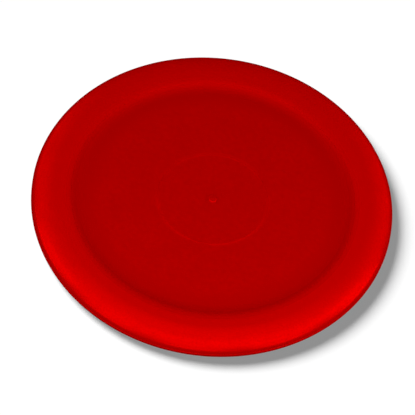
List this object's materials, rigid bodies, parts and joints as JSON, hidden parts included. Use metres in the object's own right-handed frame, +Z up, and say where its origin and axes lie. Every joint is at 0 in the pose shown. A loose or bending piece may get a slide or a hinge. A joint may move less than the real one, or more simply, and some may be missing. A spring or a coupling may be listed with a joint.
{
  "type": "air hockey puck",
  "caption": "Flat round air hockey puck with a raised, rounded rim and a shallow flat recess in both faces, so that it glides either way up",
  "frame": {"origin": "centre of the puck, on the plane of the lower rest face that it slides on", "axes": "+Z up along the puck's axis, from the lower rest face to the upper one; X and Y lie in the plane of the table, and +X passes midway between a peg and a socket"},
  "size_m": [0.0826, 0.0826, 0.0063],
  "materials": {
    "rim_plastic": "satin",
    "disc_plastic": "fine matt",
    "cap_plastic": "fine matt"
  },
  "bodies": {
    "root": {"rim_ring": "rim_plastic", "upper_face_disc": "disc_plastic", "lower_face_disc": "disc_plastic", "upper_hub_cap": "cap_plastic", "lower_hub_cap": "cap_plastic"}
  },
  "joints": []
}
